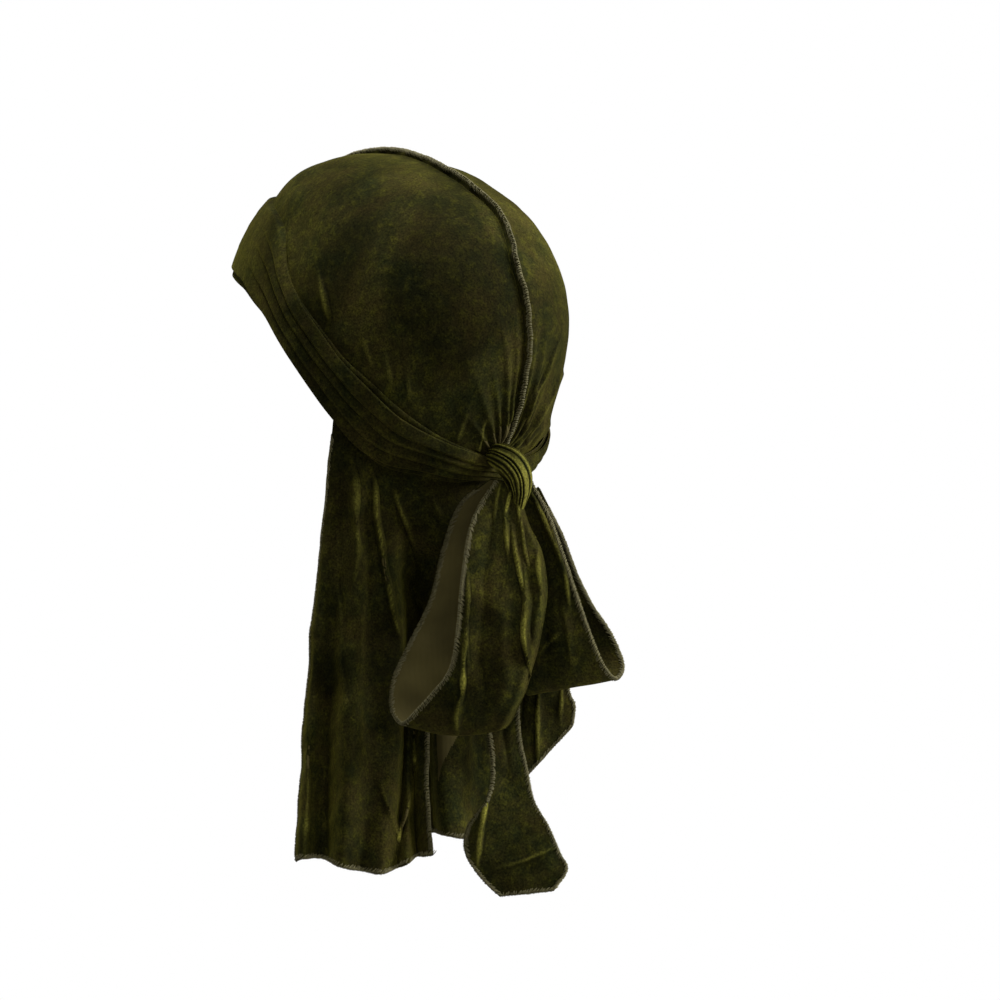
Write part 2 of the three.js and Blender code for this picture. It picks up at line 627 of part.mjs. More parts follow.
for (const [name, side] of [['crown_left', 1], ['crown_right', -1]]) {
  const grid = clothGrid(crownPoint(side), evenShares(FACES.crown.across), evenShares(FACES.crown.along));
  addCloth(name, grid, BOW);
}

addFlap('flap_left', FLAP_LEFT, FACES.flapLeft, BOW);
addFlap('flap_right', FLAP_RIGHT, FACES.flapRight, [...BOW, 'flap_left']);

export default durag;
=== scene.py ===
"""A crushed velvet durag in its worn form, seen from its left rear, with its bow at the back.

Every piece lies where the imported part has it. Tables are in millimetres and degrees, meshes in metres.
"""

import math

import bpy
import numpy as np
from mathutils import Matrix, Vector


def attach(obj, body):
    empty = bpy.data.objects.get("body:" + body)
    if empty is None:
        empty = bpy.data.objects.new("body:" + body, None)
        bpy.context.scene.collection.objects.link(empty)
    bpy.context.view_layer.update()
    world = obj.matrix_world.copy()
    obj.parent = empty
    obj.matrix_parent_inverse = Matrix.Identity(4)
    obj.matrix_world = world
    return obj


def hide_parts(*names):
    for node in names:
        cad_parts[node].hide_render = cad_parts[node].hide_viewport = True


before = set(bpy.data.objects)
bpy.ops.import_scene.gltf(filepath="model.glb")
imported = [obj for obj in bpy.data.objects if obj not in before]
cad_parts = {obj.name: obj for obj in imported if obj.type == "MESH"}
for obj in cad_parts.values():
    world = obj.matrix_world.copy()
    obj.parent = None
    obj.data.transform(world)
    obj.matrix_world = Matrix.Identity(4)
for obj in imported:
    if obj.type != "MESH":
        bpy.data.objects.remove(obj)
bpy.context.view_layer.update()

# The view
# The camera stands level with the bow, to the left rear, and far enough back for a portrait lens,
# so the crown fills the upper half of a square picture.
MM = 0.001
VIEW_TURN = math.radians(132)
VIEW_RISE = math.radians(-0.7)
VIEW_PLACE = Vector((1221.1, 1194.5, -213.4)) * MM
LENS = 109.5
SENSOR = 36

view_right = Vector((math.cos(VIEW_TURN), math.sin(VIEW_TURN), 0))
view_back = Vector((
    math.sin(VIEW_TURN) * math.cos(VIEW_RISE),
    -math.cos(VIEW_TURN) * math.cos(VIEW_RISE),
    math.sin(VIEW_RISE),
))
view_up = view_back.cross(view_right)
camera_data = bpy.data.cameras.new("camera")
camera_data.lens = LENS
camera_data.sensor_width = SENSOR
camera = bpy.data.objects.new("camera", camera_data)
view_axes = Matrix((view_right, view_up, view_back)).transposed().to_4x4()
camera.matrix_world = Matrix.Translation(VIEW_PLACE) @ view_axes
bpy.context.scene.collection.objects.link(camera)
bpy.context.scene.camera = camera
bpy.context.scene.view_settings.view_transform = "Standard"

# Crown panels
# Two panels of stretch velvet, pulled smooth into a dome and sewn together down the middle. Their
# lower edges are gathered into the tie at the back and held down by the wrapped straps.


def table(names, *rows):
    """Rows of values under the names of their columns."""
    return [dict(zip(names.split(), row)) for row in rows]


DOME = {"half_width": 78, "half_length": 106, "above": 96, "below": 114, "tilt": 18, "fullness": 2.25}
DOME_MIDDLE = (0, 13.8, -97.7)
FRONT_PRESS = {"depth": 4, "rise": (30, 46), "turn": (66, 96)}
CLOTH = 1.4
CLOTH_LIP = 0.4
SEAM_ROOM = 2.0
CROWN_LAYER = -CLOTH / 2
CROWN_CELLS = (150, 250)
CROWN_HEM = {"from": 24, "to": 176.5, "pace": 0.95}
CROWN_WAVES = table("size depth seed", (42, 0.35, 3), (14, 0.12, 4))
WAVE_COUNT = 7
WAVE_PACES = (0.6, 1.4)
SEAM = table(
    "climb left",
    (22, 0),
    (70, 2),
    (100, 9),
    (115, 8.5),
    (130, 6),
    (145, 10),
    (165, 6),
    (190, 3),
    (204, 4),
)
WRAP = table(
    "turn top bottom under_top under_bottom",
    (0, 31, 5.5, 29, 3),
    (50, 33, 6.5, 31, 4),
    (64, 30, 2, 28, 0.5),
    (78, 20, -3, 18, -4),
    (94, 9.5, -11.5, 9, -12),
    (110, -0.5, -20.5, 0, -21),
    (120, -7, -26, -6, -26.5),
    (131, -12.3, -31, -10.5, -32),
    (142, -17.5, -32.5, -15.5, -34.5),
    (154, -20.2, -30.5, -19.5, -33),
    (166, -22, -30, -22, -32.5),
    (177, -23.5, -29.5, -24, -30),
)
GATHERS = table(
    "at width depth start",
    (0.09, 0.06, 1.4, 0.68),
    (0.22, 0.08, 2.3, 0.64),
    (0.37, 0.07, 1.8, 0.74),
    (0.52, 0.09, 2.3, 0.7),
    (0.7, 0.07, 1.9, 0.78),
)
GATHERS_FULL = 0.93
RELIEF_ENDS = {"hem": (0.9, 0.98), "back": (0.94, 0.99)}
KNOT = (7, 102.4, -175.6)
BOW_TURN = math.radians(132)
OUT = np.array([math.sin(BOW_TURN), -math.cos(BOW_TURN), 0])
STEEP_SIDE = 0.32
CREST_PINCH = 3
FOLD_WANDER = {"size": 34, "depth": 1.1, "seed": 12}
FOLD_ENDS = {"grown": (-0.2, 0.45), "gone": (0.6, 1.2)}
RIDGE_REACH = 3
CROWN_FOLDS = table(
    "a1 u1 a2 u2 width depth steep",
    (9, 38, -8, 3, 4.5, 2.4, 1),
    (-7, 28, -16, 5, 4, 1.5, 1),
    (-18, 30, -24, 9, 5, 1.1, 1),
    (30, 70, 6, 12, 3.6, 2.2, -1),
    (35, 58, 11, 11, 3.4, 2.2, -1),
    (34, 40, 14, 9, 3, 2.0, -1),
    (20, 54, 11, 22, 3, 1.3, -1),
    (-96, 104, -89.5, 50, 4, 2.8, 1),
    (-82, 72, -77, 38, 5, 1.0, 1),
    (-72, 72, -67, 32, 5, 1.2, 1),
    (-61, 66, -57, 26, 5, 1.0, 1),
    (-50, 58, -47, 20, 5, 0.9, -1),
)


def smoothstep(value, low, high):
    t = np.clip((value - low) / (high - low), 0, 1)
    return t * t * (3 - 2 * t)


def mix(low, high, share):
    return low + (high - low) * share


def crease(distance, width):
    """A fold with a narrow crest and long soft flanks."""
    return np.exp(1 - np.sqrt(1 + (CREST_PINCH * distance / width) ** 2))


def rumple(points, size, depth, seed):
    """Soft uneven waves of a given size, the same ones each time."""
    waves = np.random.default_rng(seed)
    total = np.zeros(points.shape[:-1])
    for _ in range(WAVE_COUNT):
        way = waves.normal(size=3)
        way *= 2 * math.pi / size / np.linalg.norm(way) * waves.uniform(*WAVE_PACES)
        total += np.sin(points @ way + waves.uniform(0, 2 * math.pi))
    return depth * total / math.sqrt(WAVE_COUNT)


def fold_relief(points, folds):
    """How far folds stand out. A fold runs down from a1, u1 to a2, u2, across and up from the knot,
    and dies away at both ends. steep is the side on which it drops sharply, 1 for the right, -1 for
    the left and 0 for neither."""
    shifted = points - np.array(KNOT)
    across = shifted[..., 0] * math.cos(BOW_TURN) + shifted[..., 1] * math.sin(BOW_TURN)
    up = shifted[..., 2]
    wander = rumple(points, **FOLD_WANDER)
    relief = np.zeros(points.shape[:-1])
    for fold in folds:
        run_across = fold["a2"] - fold["a1"]
        run_up = fold["u2"] - fold["u1"]
        length = math.hypot(run_across, run_up)
        along = ((across - fold["a1"]) * run_across + (up - fold["u1"]) * run_up) / length**2
        right = ((up - fold["u1"]) * run_across - (across - fold["a1"]) * run_up) / length + wander
        width = np.where(right * fold["steep"] > 0, fold["width"] * STEEP_SIDE, fold["width"])
        fade = smoothstep(along, *FOLD_ENDS["grown"]) * (1 - smoothstep(along, *FOLD_ENDS["gone"]))
        relief += fold["depth"] * crease(right, width) * fade
    return relief


def column(rows, key, name, value):
    """The smooth curve through one column of a table, read at values of its key column."""
    keys = np.array([row[key] for row in rows], float)
    values = np.array([row[name] for row in rows], float)
    before = np.maximum(np.arange(len(rows)) - 1, 0)
    after = np.minimum(np.arange(len(rows)) + 1, len(rows) - 1)
    slopes = (values[after] - values[before]) / (keys[after] - keys[before])
    i = np.clip(np.searchsorted(keys, value) - 1, 0, len(rows) - 2)
    span = keys[i + 1] - keys[i]
    t = np.clip((value - keys[i]) / span, 0, 1)
    pull_from = t * (1 - t) ** 2 * span * slopes[i]
    pull_to = t * t * (t - 1) * span * slopes[i + 1]
    return mix(values[i], values[i + 1], t * t * (3 - 2 * t)) + pull_from + pull_to


def dome_direction(turn, rise):
    """turn goes from the front round by the left, and rise is the angle above level."""
    turn, rise = np.radians(turn), np.radians(rise)
    return np.stack([np.sin(turn) * np.cos(rise), -np.cos(turn) * np.cos(rise), np.sin(rise)], -1)


def strap_press(direction):
    """How far the straps press the dome in at the front."""
    turn = np.abs(np.degrees(np.arctan2(direction[..., 0], -direction[..., 1])))
    rise = np.degrees(np.arcsin(np.clip(direction[..., 2], -1, 1)))
    low = 1 - smoothstep(rise, *FRONT_PRESS["rise"])
    forward = 1 - smoothstep(turn, *FRONT_PRESS["turn"])
    return FRONT_PRESS["depth"] * low * forward


def dome_point(direction, layer):
    """The point of the tilted, egg-shaped dome in a direction, a layer's distance out."""
    sizes = np.empty_like(direction)
    sizes[..., 0] = DOME["half_width"]
    sizes[..., 1] = DOME["half_length"]
    sizes[..., 2] = np.where(direction[..., 2] > 0, DOME["above"], DOME["below"])
    scaled = np.abs(direction / sizes)
    total = (scaled ** DOME["fullness"]).sum(-1, keepdims=True)
    point = direction * total ** (-1 / DOME["fullness"])
    normal = np.sign(direction) * scaled ** (DOME["fullness"] - 1) / sizes
    normal /= np.linalg.norm(normal, axis=-1, keepdims=True)
    point = point + normal * (layer - strap_press(direction))[..., None]
    tilt = math.radians(DOME["tilt"])
    y = point[..., 1] * math.cos(tilt) + point[..., 2] * math.sin(tilt)
    z = -point[..., 1] * math.sin(tilt) + point[..., 2] * math.cos(tilt)
    return np.stack([point[..., 0], y, z], -1) + np.array(DOME_MIDDLE)


def wrap_edge(name, turn):
    """How high an edge of the wrapped straps lies. Both sides are alike."""
    folded = np.abs(turn)
    folded = np.where(folded > 180, 360 - folded, folded)
    return column(WRAP, "turn", name, folded)


def hem_rise(turn):
    """The crown's hem runs along the middle of the outer wrap."""
    return (wrap_edge("top", turn) + wrap_edge("bottom", turn)) / 2


def seam_direction(v, sideways):
    """The seam's line over the dome, and the lines beside it."""
    climb = mix(SEAM[0]["climb"], SEAM[-1]["climb"], v)
    lean = (column(SEAM, "climb", "left", climb) + sideways) / DOME["above"]
    climb = np.radians(climb)
    return np.stack([np.sin(lean), -np.cos(lean) * np.cos(climb), np.cos(lean) * np.sin(climb)], -1)


def crown_grid(side, across, along):
    u, v = np.meshgrid(np.linspace(0, 1, across), np.linspace(0, 1, along))
    turn = mix(CROWN_HEM["from"], CROWN_HEM["to"], v ** CROWN_HEM["pace"])
    seam = seam_direction(v, side * SEAM_ROOM)
    hem = dome_direction(side * turn, hem_rise(turn))
    angle = np.arccos(np.clip((seam * hem).sum(-1), -1, 1))
    direction = seam * np.sin((1 - u) * angle)[..., None] + hem * np.sin(u * angle)[..., None]
    direction /= np.linalg.norm(direction, axis=-1, keepdims=True)
    wrap_top = np.maximum(wrap_edge("top", turn), wrap_edge("under_top", turn))
    bare = u / (1 - np.radians(wrap_top - hem_rise(turn)) / angle)
    relief = np.zeros_like(u)
    for fold in GATHERS:
        growth = smoothstep(v, fold["start"], GATHERS_FULL)
        relief += fold["depth"] * crease(bare - fold["at"], fold["width"]) * growth
    relief += fold_relief(dome_point(direction, CROWN_LAYER + 0 * u), CROWN_FOLDS)
    fade = (1 - smoothstep(bare, *RELIEF_ENDS["hem"])) * (1 - smoothstep(v, *RELIEF_ENDS["back"]))
    return dome_point(direction, CROWN_LAYER + relief * fade)


def grid_normals(points):
    padded = np.pad(points, ((1, 1), (1, 1), (0, 0)), mode="edge")
    across = padded[1:-1, 2:] - padded[1:-1, :-2]
    along = padded[2:, 1:-1] - padded[:-2, 1:-1]
    normal = np.cross(across, along)
    return normal / np.maximum(np.linalg.norm(normal, axis=-1, keepdims=True), 1e-9)


def waved(points, waves):
    """The grid with soft waves added along its normals."""
    heights = sum(rumple(points, **wave) for wave in waves)
    return points + grid_normals(points) * heights[..., None]


def ridge_shares(points):
    """How sharply each point stands out from those a few cells away, on the normal's side."""
    border = (RIDGE_REACH, RIDGE_REACH)
    padded = np.pad(points, (border, border, (0, 0)), mode="reflect", reflect_type="odd")
    inner = slice(RIDGE_REACH, -RIDGE_REACH)
    before = slice(None, -2 * RIDGE_REACH)
    after = slice(2 * RIDGE_REACH, None)
    sides = [padded[before, inner], padded[after, inner], padded[inner, before], padded[inner, after]]
    away = points - sum(sides) / 4
    spread = sum(np.linalg.norm(points - side, axis=-1) for side in sides) / 4
    return (away * grid_normals(points)).sum(-1) / spread


def smooth_piece(name, corners, faces, *materials):
    """One piece with smooth faces, from its corners in millimetres."""
    mesh = bpy.data.meshes.new(name)
    mesh.from_pydata((corners.reshape(-1, 3) * MM).tolist(), [], faces)
    for material in materials:
        mesh.materials.append(material)
    mesh.polygons.foreach_set("use_smooth", np.ones(len(faces), bool))
    mesh.update()
    piece = bpy.data.objects.new(name, mesh)
    bpy.context.scene.collection.objects.link(piece)
    return piece


def store_ridges(piece, values):
    """Keeps how far each corner stands out, for the velvet to paint a highlight on crests and shade in
    hollows.
    """
    ridges = piece.data.attributes.new("ridge", "FLOAT", "POINT")
    ridges.data.foreach_set("value", values.astype(np.float32).ravel())


def cloth_mesh(name, points, face, outside, inside, turned=None):
    """A closed wall of cloth round a grid, with a rounded border. face is 1 or -1: the grid's side
    that shows the pile, but for the cells that turned marks."""
    rows, columns = points.shape[:2]
    normals = grid_normals(points) * CLOTH / 2
    rim = [(0, j) for j in range(columns)]
    rim += [(i, columns - 1) for i in range(1, rows)]
    rim += [(rows - 1, j) for j in range(columns - 2, -1, -1)]
    rim += [(i, 0) for i in range(rows - 2, 0, -1)]
    rim_i, rim_j = np.array(rim).T
    inner_i = np.clip(rim_i, 1, rows - 2)
    inner_j = np.clip(rim_j, 1, columns - 2)
    outward = points[rim_i, rim_j] - points[inner_i, inner_j]
    outward /= np.linalg.norm(outward, axis=-1, keepdims=True)
    lips = points[rim_i, rim_j] + outward * CLOTH * CLOTH_LIP
    corners = np.concatenate([(points + normals).reshape(-1, 3), (points - normals).reshape(-1, 3), lips])
    i, j = np.meshgrid(np.arange(rows - 1), np.arange(columns - 1), indexing="ij")
    a = (i * columns + j).ravel()
    front = np.stack([a, a + 1, a + 1 + columns, a + columns], -1)
    size = rows * columns
    back = front[:, ::-1] + size
    edge = rim_i * columns + rim_j
    after = np.roll(edge, -1)
    lip = 2 * size + np.arange(len(rim))
    lip_after = np.roll(lip, -1)
    front_rim = np.stack([after, edge, lip, lip_after], -1)
    back_rim = np.stack([lip_after, lip, edge + size, after + size], -1)
    faces = np.concatenate([front, front_rim, back_rim, back])
    front_count = len(front) + len(rim)
    slots = np.where(np.arange(len(faces)) < front_count, 0, 1)
    if face < 0:
        slots = np.where(np.arange(len(faces)) < len(front), 1, 0)
    if turned is not None:
        slots[:len(front)] = np.where(turned.ravel(), 1 - slots[:len(front)], slots[:len(front)])
        slots[-len(back):] = np.where(turned.ravel(), 1 - slots[-len(back):], slots[-len(back):])
    piece = smooth_piece(name, corners, faces.tolist(), outside, inside)
    piece.data.polygons.foreach_set("material_index", slots.astype(np.int32))
    # These ridge values drive the velvet's painted highlight on crests and painted shade in hollows.
    ridges = face * ridge_shares(points)
    store_ridges(piece, np.concatenate([ridges.ravel(), ridges.ravel(), ridges[rim_i, rim_j]]))
    return piece


def colour(code):
    """An sRGB hex colour as linear red, green, blue and alpha."""
    shares = [int(code[k:k + 2], 16) / 255 for k in (1, 3, 5)]
    linear = [s / 12.92 if s <= 0.04045 else ((s + 0.055) / 1.055) ** 2.4 for s in shares]
    return (*linear, 1)


def add_node(tree, kind, inputs, **settings):
    """One node with its settings, and its inputs set or linked."""
    made = tree.nodes.new(kind)
    for name, value in settings.items():
        setattr(made, name, value)
    for key, value in inputs.items():
        if isinstance(value, bpy.types.NodeSocket):
            tree.links.new(value, made.inputs[key])
        else:
            made.inputs[key].default_value = value
    return made


def blend_colours(tree, share, first, second):
    """The colour between two others. A mix node's colour sockets have only numbers."""
    inputs = {0: share, 6: first, 7: second}
    return add_node(tree, "ShaderNodeMix", inputs, data_type="RGBA").outputs[2]


def new_material(name):
    """An empty material, its node tree, and the place on the object in metres."""
    material = bpy.data.materials.new(name)
    material.use_nodes = True
    tree = material.node_tree
    tree.nodes.clear()
    place = add_node(tree, "ShaderNodeTexCoord", {}).outputs["Object"]
    return material, tree, place


def finish_material(tree, inputs):
    shader = add_node(tree, "ShaderNodeBsdfPrincipled", inputs)
    add_node(tree, "ShaderNodeOutputMaterial", {"Surface": shader.outputs[0]})


# Crushed stretch velvet: polyester pile on a knitted ground, steamed so that it lies in patches.
# It shows brown and olive patches, near-black green in the hollows, which is painted shade, and a
# yellow-green on the crests of folds, which is a painted highlight; where the pile is seen from the
# side, the sheen lights it. In wide sweeps the pile leans one way and looks darker. The real pile is
# 0.1 mm fine, so its grain is drawn at 1.1 mm.
SWEEP = 55
PATCH = 24
CRUSH = 5
PILE_GRAIN = 1.1


def crushed_velvet(name, deep, brown, lit, crest, sheen, sheen_weight):
    material, tree, place = new_material(name)
    sweeps = add_node(tree, "ShaderNodeTexNoise", {
        "Vector": place, "Scale": 1 / (SWEEP * MM), "Detail": 2, "Roughness": 0.5, "Distortion": 0.8,
    }).outputs[0]
    patches = add_node(tree, "ShaderNodeTexNoise", {
        "Vector": place, "Scale": 1 / (PATCH * MM), "Detail": 3, "Roughness": 0.6, "Distortion": 0.3,
    }).outputs[0]
    crush = add_node(tree, "ShaderNodeTexNoise", {
        "Vector": place, "Scale": 1 / (CRUSH * MM), "Detail": 5, "Roughness": 0.68, "Distortion": 0.25,
    }).outputs[0]
    grain = add_node(tree, "ShaderNodeTexNoise", {
        "Vector": place, "Scale": 1 / (PILE_GRAIN * MM), "Detail": 3, "Roughness": 0.75,
    }).outputs[0]
    ridge = add_node(tree, "ShaderNodeAttribute", {}, attribute_name="ridge").outputs["Fac"]
    patch_share = add_node(tree, "ShaderNodeMapRange", {
        "Value": patches, "From Min": 0.3, "From Max": 0.72,
    }, interpolation_type="SMOOTHSTEP").outputs[0]
    crush_share = add_node(tree, "ShaderNodeMapRange", {
        "Value": crush, "From Min": 0.42, "From Max": 0.86,
    }, interpolation_type="SMOOTHSTEP").outputs[0]
    # Painted highlight: where the ridge measure is high, on the crests of folds, the crest colour is painted
    # over the base colour.
    painted_highlight_share = add_node(tree, "ShaderNodeMapRange", {
        "Value": ridge, "From Min": 0.03, "From Max": 0.85,
    }, interpolation_type="SMOOTHSTEP").outputs[0]
    # Painted shade: the colour darkens down to 0.3 of itself where the ridge measure is negative, in hollows
    # and the valleys beside crests.
    painted_shade_value = add_node(tree, "ShaderNodeMapRange", {
        "Value": ridge, "From Min": -0.35, "From Max": 0.0, "To Min": 0.3,
    }).outputs[0]
    base = blend_colours(tree, patch_share, colour(deep), colour(brown))
    base = blend_colours(tree, crush_share, base, colour(lit))
    base = blend_colours(tree, painted_highlight_share, base, colour(crest))
    grain_value = add_node(tree, "ShaderNodeMapRange", {
        "Value": grain, "From Min": 0.3, "From Max": 0.72, "To Min": 0.3, "To Max": 1.95,
    }).outputs[0]
    grained = add_node(tree, "ShaderNodeHueSaturation", {"Color": base, "Value": grain_value}).outputs[0]
    shaded = add_node(tree, "ShaderNodeHueSaturation", {"Color": grained, "Value": painted_shade_value}).outputs[0]
    sweep_value = add_node(tree, "ShaderNodeMapRange", {
        "Value": sweeps, "From Min": 0.34, "From Max": 0.66, "To Min": 0.5, "To Max": 1.2,
    }, interpolation_type="SMOOTHSTEP").outputs[0]
    laid = add_node(tree, "ShaderNodeHueSaturation", {"Color": shaded, "Value": sweep_value}).outputs[0]
    crush_bump = add_node(tree, "ShaderNodeBump", {
        "Height": crush, "Strength": 0.5, "Distance": 1.2 * MM,
    }).outputs[0]
    pile_bump = add_node(tree, "ShaderNodeBump", {
        "Height": grain, "Strength": 0.5, "Distance": 0.45 * MM, "Normal": crush_bump,
    }).outputs[0]
    finish_material(tree, {
        "Base Color": laid,
        "Roughness": 0.85,
        "Specular IOR Level": 0.02,
        "Sheen Weight": sheen_weight,
        "Sheen Roughness": 0.38,
        "Sheen Tint": colour(sheen),
        "Normal": pile_bump,
    })
    return material


# The ground's wrong side: a smooth fine knit, paler and browner than the pile, with almost no gloss.
# Its real ribs are 0.5 mm apart, and are drawn at 2.2 mm so that they show. A wave pattern turns by
# 20 radians in one unit.
KNIT_RIB = 2.17
KNIT_PATCH = 22
WAVE_RADIANS = 20


def knit_backing(name, thread, shade):
    material, tree, place = new_material(name)
    uneven = add_node(tree, "ShaderNodeTexNoise", {
        "Vector": place, "Scale": 1 / (KNIT_PATCH * MM), "Detail": 3,
    }).outputs[0]
    ribs = add_node(tree, "ShaderNodeTexWave", {
        "Vector": place, "Scale": math.tau / WAVE_RADIANS / (KNIT_RIB * MM), "Distortion": 1.5, "Detail": 2,
    }).outputs[1]
    base = blend_colours(tree, uneven, colour(shade), colour(thread))
    relief = add_node(tree, "ShaderNodeBump", {
        "Height": ribs, "Strength": 0.3, "Distance": 0.15 * MM,
    }).outputs[0]
    finish_material(tree, {
        "Base Color": base,
        "Roughness": 0.75,
        "Specular IOR Level": 0.08,
        "Sheen Weight": 0.1,
        "Sheen Tint": colour("#a59a6a"),
        "Normal": relief,
    })
    return material


# crest is the colour of the painted highlight on fold crests.
velvet = crushed_velvet(
    "crushed_olive_velvet", deep="#181b0a", brown="#2a250f", lit="#3a3910", crest="#716e2d",
    sheen="#b3ab42", sheen_weight=0.2,
)
backing = knit_backing("knitted_velvet_backing", thread="#554d29", shade="#332e17")

for node, side in (("crown_left", 1), ("crown_right", -1)):
    points = waved(crown_grid(side, *CROWN_CELLS), CROWN_WAVES)
    panel = cloth_mesh("velvet_" + node, points, side, velvet, backing)
    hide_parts(node)
    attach(panel, "root")

# Centre seam
# The panels' raw edges are overlocked together and stand up as a ridge from front to back: a roll of
# doubled cloth bound by slanting thread. Inside, the seam's allowance lies open under both panels.
SEAM_STEPS = 426
SEAM_FIN = {"height": 3.4, "foot": -1.2, "top": 2.8, "stitches": 3.2}
SEAM_WAVER = table("depth pace start", (0.35, 75, 0), (0.25, 171, 1))
ROLL_SIDE = table(
    "height left",
    (-2.0, 3.0),
    (-1.55, 3.0),
    (-1.5, 1.1),
    (0.6, 1.1),
    (1.6, 1.25),
    (2.7, 1.05),
    (3.3, 0.55),
)
ROLL_CREST = table("height left", (3.4, 0.0))
OVERLOCK = {"middle": 0.55, "brink": 0.2, "past_edge": -0.75, "proud": 0.7}
STITCH_HAND = {"seed": 7, "deeper": (0.7, 1.15), "further": (0.4, 1.5), "slip": 0.25}
STITCH_SIDES = 4
STITCH_TIP = 0.25
STITCH_FULLNESS = 0.5
# A slanting direction that no stitch runs along, from which a stitch's sides are found.
STITCH_LEVER = np.array([0.31, 0.47, 0.83])

# Spun polyester thread: matt and khaki, with near-black painted shade in patches for the dark between
# its twists. The real twist is 0.3 mm long, and is drawn at 1.2 mm so that it shows.
THREAD_TWIST = 1.2

thread_material, thread_tree, thread_place = new_material("spun_polyester_overlock_thread")
painted_twist_shading = add_node(thread_tree, "ShaderNodeTexNoise", {
    "Vector": thread_place, "Scale": 1 / (THREAD_TWIST * MM), "Detail": 2,
}).outputs[0]
# Painted shade: noise darkens the khaki thread to near-black between its twists.
finish_material(thread_tree, {
    "Base Color": blend_colours(thread_tree, painted_twist_shading, colour("#1b190e"), colour("#7a7450")),
    "Roughness": 0.6,
    "Specular IOR Level": 0.15,
})


def stitch_tubes(name, paths, radius):
    """Short tubes along many paths of equal length, as one mesh. paths is stitches x steps x 3."""
    count, steps = paths.shape[:2]
    padded = np.pad(paths, ((0, 0), (1, 1), (0, 0)), mode="edge")
    way = padded[:, 2:] - padded[:, :-2]
    way /= np.maximum(np.linalg.norm(way, axis=-1, keepdims=True), 1e-9)
    side = np.cross(way, way[:, ::-1] + STITCH_LEVER)
    side /= np.maximum(np.linalg.norm(side, axis=-1, keepdims=True), 1e-9)
    other = np.cross(way, side)
    angle = np.arange(STITCH_SIDES) * 2 * math.pi / STITCH_SIDES
    taper = np.sin(np.linspace(STITCH_TIP, math.pi - STITCH_TIP, steps)) ** STITCH_FULLNESS
    ring = side[:, :, None] * np.cos(angle)[:, None] + other[:, :, None] * np.sin(angle)[:, None]
    corners = paths[:, :, None] + ring * (radius * taper)[None, :, None, None]
    start = np.arange(count)[:, None, None] * steps * STITCH_SIDES
    step = np.arange(steps - 1)[None, :, None] * STITCH_SIDES
    turn = np.arange(STITCH_SIDES)
    a, b = start + step + turn, start + step + (turn + 1) % STITCH_SIDES
    walls = np.stack([a, b, b + STITCH_SIDES, a + STITCH_SIDES], -1).reshape(-1, 4).tolist()
    first = (start[:, 0] + turn[::-1]).tolist()
    last = (start[:, 0] + (steps - 1) * STITCH_SIDES + turn).tolist()
    piece = smooth_piece(name, corners, walls + first + last, thread_material)
    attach(piece, "root")
    return piece


def resample(line, count, *others):
    """Points evenly spaced along a line, and other values carried along with them."""
    reach = np.concatenate([[0], np.cumsum(np.linalg.norm(np.diff(line, axis=0), axis=1))])
    at = np.linspace(0, reach[-1], count)
    spaced = []
    for values in (line, *others):
        spaced.append(np.stack([np.interp(at, reach, values[:, k]) for k in range(3)], -1))
    return spaced


def overlock(name, edge, inward, normal, reach=2.1, pitch=0.9, radius=0.34, lean=1.7, half=CLOTH / 2):
    """Thread that binds a cloth edge: each stitch goes from one face over the edge to the other."""
    hand = np.random.default_rng(STITCH_HAND["seed"])
    length = np.linalg.norm(np.diff(edge, axis=0), axis=1).sum()
    edge, inward, normal = resample(edge, int(length / pitch), inward, normal)
    way = np.gradient(edge, axis=0)
    way /= np.linalg.norm(way, axis=-1, keepdims=True)
    inward = inward / np.linalg.norm(inward, axis=-1, keepdims=True)
    normal = normal / np.linalg.norm(normal, axis=-1, keepdims=True)
    rise = half + radius * OVERLOCK["proud"]
    middle = reach * OVERLOCK["middle"]
    brink = OVERLOCK["brink"]
    steps = [
        (reach, half, lean), (middle, rise, lean / 2), (brink, rise, 0),
        (OVERLOCK["past_edge"], 0, -lean / 4),
        (brink, -rise, 0), (middle, -rise, lean / 2), (reach, -half, lean),
    ]
    each = (len(edge), 1)
    deeper = hand.uniform(*STITCH_HAND["deeper"], each)
    further = hand.uniform(*STITCH_HAND["further"], each)
    edge = edge + way * hand.uniform(-STITCH_HAND["slip"], STITCH_HAND["slip"], each) * pitch
    paths = []
    for depth, height, along in steps:
        paths.append(edge + inward * depth * deeper + normal * height + way * along * further)
    return stitch_tubes(name, np.stack(paths, 1), radius)


def closed_strip(name, rings, material, ridges):
    """A bar from rings of points, with its ends closed."""
    count, sides = rings.shape[:2]
    i, j = np.meshgrid(np.arange(count - 1), np.arange(sides), indexing="ij")
    a, b = i * sides + j, i * sides + (j + 1) % sides
    walls = np.stack([a, b, b + sides, a + sides], -1).reshape(-1, 4).tolist()
    ends = [list(range(sides))[::-1], list(range((count - 1) * sides, count * sides))]
    piece = smooth_piece(name, rings, walls + ends, material)
    store_ridges(piece, ridges)
    bpy.context.view_layer.objects.active = piece
    bpy.ops.object.select_all(action="DESELECT")
    piece.select_set(True)
    bpy.ops.object.mode_set(mode="EDIT")
    bpy.ops.mesh.select_all(action="SELECT")
    bpy.ops.mesh.normals_make_consistent(inside=False)
    bpy.ops.object.mode_set(mode="OBJECT")
    return piece


